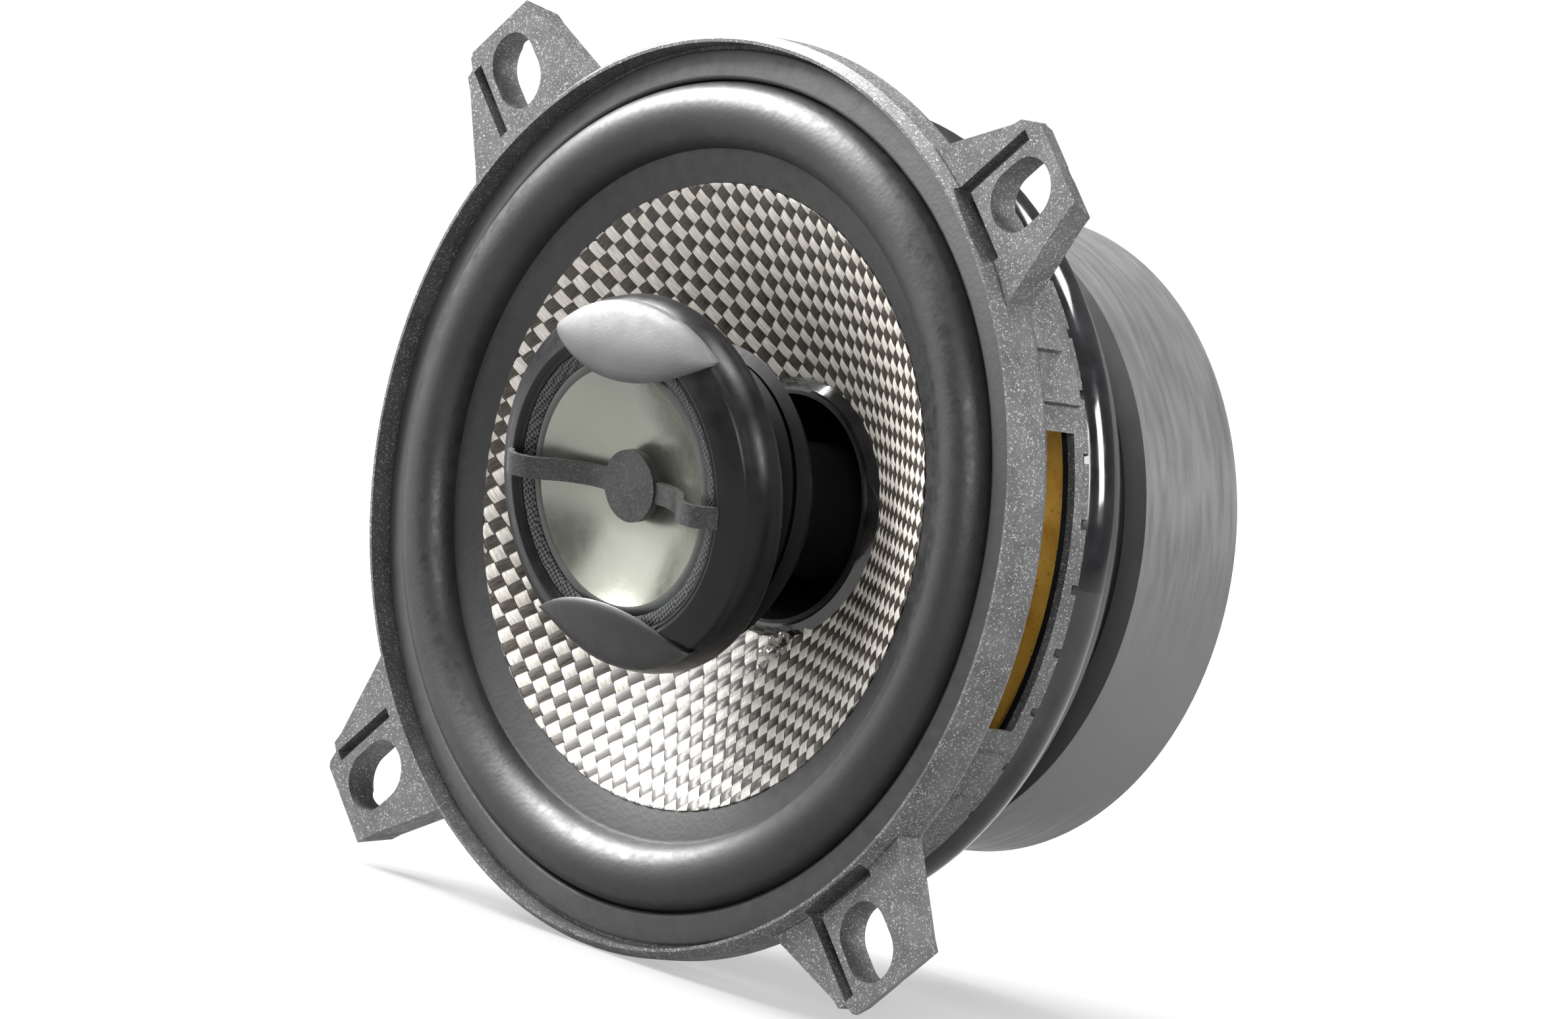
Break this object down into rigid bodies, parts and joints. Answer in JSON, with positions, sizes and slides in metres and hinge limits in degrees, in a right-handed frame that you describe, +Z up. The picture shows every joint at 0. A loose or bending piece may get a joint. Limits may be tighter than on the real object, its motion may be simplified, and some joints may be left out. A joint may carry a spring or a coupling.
{
  "type": "coaxial car speaker",
  "caption": "Round coaxial car speaker with a four-eared metal frame, woven cone, rubber surround, ring magnet and a swivelling inverted-dome tweeter on a centre post.",
  "frame": {"origin": "middle of the mounting plane, the plane of the four ears' rear faces, on the speaker's axis", "axes": "+Y along the speaker's axis towards the magnet, the front faces -Y; +Z up; +X to the right seen from the front"},
  "size_m": [0.102, 0.0703, 0.102],
  "materials": {
    "frame_metal": "metallic paint with fine bright flecks",
    "pan_gloss": "gloss black paint",
    "gasket_rubber": "matt",
    "surround_rubber": "matt, finely grained",
    "woven_cloth": "plain woven, resin coated",
    "former_foil": "dark satin",
    "copper_wire": "enamelled",
    "spider_cloth": "amber, phenolic dipped",
    "glue_dark": "glossy, slightly clear",
    "plate_steel": "plated",
    "ferrite": "ground",
    "plate_black": "black plated",
    "rivet_steel": "plated",
    "post_plastic": "black",
    "liner_nylon": "natural nylon",
    "tweeter_plastic": "satin metallic grey",
    "strap_metal": "sandblasted",
    "mesh_metal": "fine metallised mesh",
    "dome_film": "pale satin film",
    "ring_pale": "pale greenish grey",
    "board_fibre": "brown fibre board",
    "terminal_tin": "tin plated",
    "lead_braid": "braided copper",
    "wire_red": "insulated",
    "wire_black": "insulated",
    "cap_sleeve": "shrink sleeve"
  },
  "bodies": {
    "chassis": {"front_basket": "frame_metal", "rear_chassis_pan": "pan_gloss", "spider_landing_ring": "plate_black", "front_pole_plate": "plate_black", "chassis_rivets": "rivet_steel", "ferrite_magnet": "ferrite", "back_plate_and_pole": "plate_steel", "front_gasket": "gasket_rubber", "tweeter_post": "post_plastic", "tweeter_socket": "post_plastic", "swivel_clamp_washer": "plate_steel", "centre_bolt": "rivet_steel", "centre_nut": "rivet_steel", "terminal_board": "board_fibre", "positive_terminal": "terminal_tin", "negative_terminal": "terminal_tin", "tweeter_wire_positive": "wire_red", "tweeter_wire_negative": "wire_black", "capacitor_lead": "wire_red", "crossover_capacitor": "cap_sleeve"},
    "woofer_diaphragm": {"woven_cone": "woven_cloth", "rubber_surround": "surround_rubber", "voice_coil_former": "former_foil", "voice_coil_winding": "copper_wire", "neck_glue_ring": "glue_dark", "spider": "spider_cloth", "lead_glue_dots": "glue_dark", "tinsel_lead_positive": "lead_braid", "tinsel_lead_negative": "lead_braid"},
    "swivel_ring": {"swivel_liner": "liner_nylon"},
    "tweeter_capsule": {"tweeter_bezel": "tweeter_plastic", "tweeter_ball_housing": "tweeter_plastic", "upper_visor": "tweeter_plastic", "lower_visor": "tweeter_plastic", "phase_bridge": "strap_metal", "tweeter_pole_disc": "plate_steel", "tweeter_magnet": "rivet_steel", "tweeter_yoke_cup": "plate_steel", "tweeter_chassis_ring": "post_plastic"},
    "tweeter_diaphragm": {"inverted_dome": "dome_film", "dome_clamp_ring": "ring_pale", "tweeter_voice_coil": "copper_wire", "tweeter_mesh_suspension": "mesh_metal"}
  },
  "joints": [
    {"name": "woofer_stroke", "type": "slide", "parent": "chassis", "child": "woofer_diaphragm", "axis": [0, 1, 0], "range_m": [-0.003, 0.003], "stiffness_N_per_m": 1500, "deforming": ["rubber_surround", "spider", "tinsel_lead_positive", "tinsel_lead_negative"]},
    {"name": "tweeter_pan", "type": "hinge", "parent": "chassis", "child": "swivel_ring", "pos_m": [0, -0.01356, 0], "axis": [0, 0, 1], "range_deg": [-10, 10]},
    {"name": "tweeter_tilt", "type": "hinge", "parent": "swivel_ring", "child": "tweeter_capsule", "pos_m": [0, -0.01356, 0], "axis": [1, 0, 0], "range_deg": [-22.3, 1.7]},
    {"name": "tweeter_stroke", "type": "slide", "parent": "tweeter_capsule", "child": "tweeter_diaphragm", "axis": [0, 0.9839, 0.1788], "range_m": [-0.0003, 0.0003], "stiffness_N_per_m": 1500, "deforming": ["tweeter_mesh_suspension"]}
  ]
}
